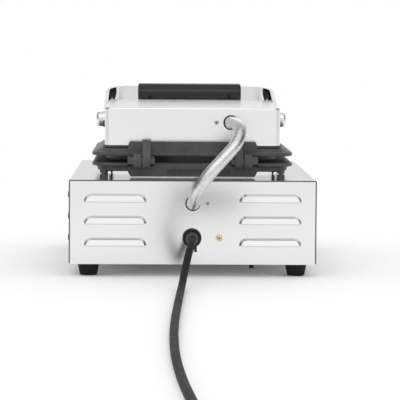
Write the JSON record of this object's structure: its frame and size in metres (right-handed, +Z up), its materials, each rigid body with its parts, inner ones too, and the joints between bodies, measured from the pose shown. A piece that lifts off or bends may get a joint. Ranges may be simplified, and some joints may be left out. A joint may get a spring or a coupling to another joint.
{
  "type": "heart waffle maker",
  "caption": "Countertop heart waffle maker for catering: steel base with louvres, cast heart plates, hinged steel lid with a strap handle, dials, lamps and a coiled mains cord.",
  "frame": {"origin": "On the floor, under the middle of the appliance's bounding box without its cord.", "axes": "+X to the viewer's right when facing the front, +Y from the front to the back where the cord leaves, +Z up."},
  "size_m": [0.3134, 1.5678, 0.2315],
  "materials": {
    "polished_steel": "finely brushed stainless sheet",
    "chrome": "bright plated",
    "coated_iron": "dark non-stick coating, satin, over a cast surface",
    "zinc_steel": "plated steel",
    "hose_steel": "strip-wound steel hose",
    "element_steel": "dull heat-tinted tube",
    "brass": "plain brass",
    "black_rubber": "matt",
    "black_plastic": "heat-proof plastic, satin",
    "green_lens": "clear coloured",
    "orange_lens": "clear coloured",
    "steatite": "unglazed ceramic",
    "wire_silicone": "silicone insulation"
  },
  "bodies": {
    "base": {"base_clamp_screw": "zinc_steel", "base_conduit_clamp": "zinc_steel", "base_cover": "polished_steel", "base_ferrule": "black_plastic", "base_tray": "polished_steel", "cable_gland": "black_plastic", "coil_tie": "black_plastic", "conduit": "hose_steel", "cord": "black_rubber", "cord_coil": "black_rubber", "earth_terminal": "brass", "foot_front_left": "black_rubber", "foot_front_right": "black_rubber", "foot_rear_left": "black_rubber", "foot_rear_right": "black_rubber", "foot_screws": "zinc_steel", "front_panel": "polished_steel", "gland_nut": "zinc_steel", "heating_lens": "orange_lens", "hinge_bolts": "zinc_steel", "hinge_nuts": "zinc_steel", "hinge_washers": "zinc_steel", "inner_wires": "wire_silicone", "lamp_bezels": "black_plastic", "lower_element": "element_steel", "lower_element_cover": "zinc_steel", "lower_plate": "coated_iron", "lower_skirt": "polished_steel", "mount_nuts": "zinc_steel", "mount_studs": "zinc_steel", "plug_body": "black_plastic", "plug_pins": "zinc_steel", "power_lens": "green_lens", "rear_panel": "polished_steel", "terminal_block": "steatite", "thermostat_body": "black_plastic", "thermostat_bulb": "zinc_steel", "timer_body": "black_plastic", "tray_plug": "black_rubber", "tray_screws": "zinc_steel"},
    "lid": {"upper_plate": "coated_iron", "lid_housing": "polished_steel", "upper_element": "element_steel", "upper_element_cover": "zinc_steel", "handle_brackets": "zinc_steel", "handle_strap": "chrome", "handle_cap_left": "chrome", "handle_cap_right": "chrome", "handle_studs": "zinc_steel", "grip_front": "black_plastic", "grip_rear": "black_plastic", "grip_screws": "zinc_steel", "lid_ferrule": "black_plastic", "lid_conduit_clamp": "zinc_steel", "lid_clamp_screw": "zinc_steel"},
    "thermostat_dial": {"thermostat_knob": "black_plastic", "thermostat_shaft": "zinc_steel"},
    "timer_dial": {"timer_knob": "black_plastic", "timer_shaft": "zinc_steel"}
  },
  "joints": [
    {"name": "lid_hinge", "type": "hinge", "parent": "base", "child": "lid", "pos_m": [0, 0.163, 0.141], "axis": [-1, 0, 0], "range_deg": [0, 100], "deforming": ["conduit"]},
    {"name": "thermostat_turn", "type": "hinge", "parent": "base", "child": "thermostat_dial", "pos_m": [0.08, -0.212, 0.0635], "axis": [0, 1, 0], "range_deg": [0, 270]},
    {"name": "timer_turn", "type": "hinge", "parent": "base", "child": "timer_dial", "pos_m": [-0.08, -0.212, 0.0635], "axis": [0, 1, 0], "range_deg": [0, 300]}
  ]
}
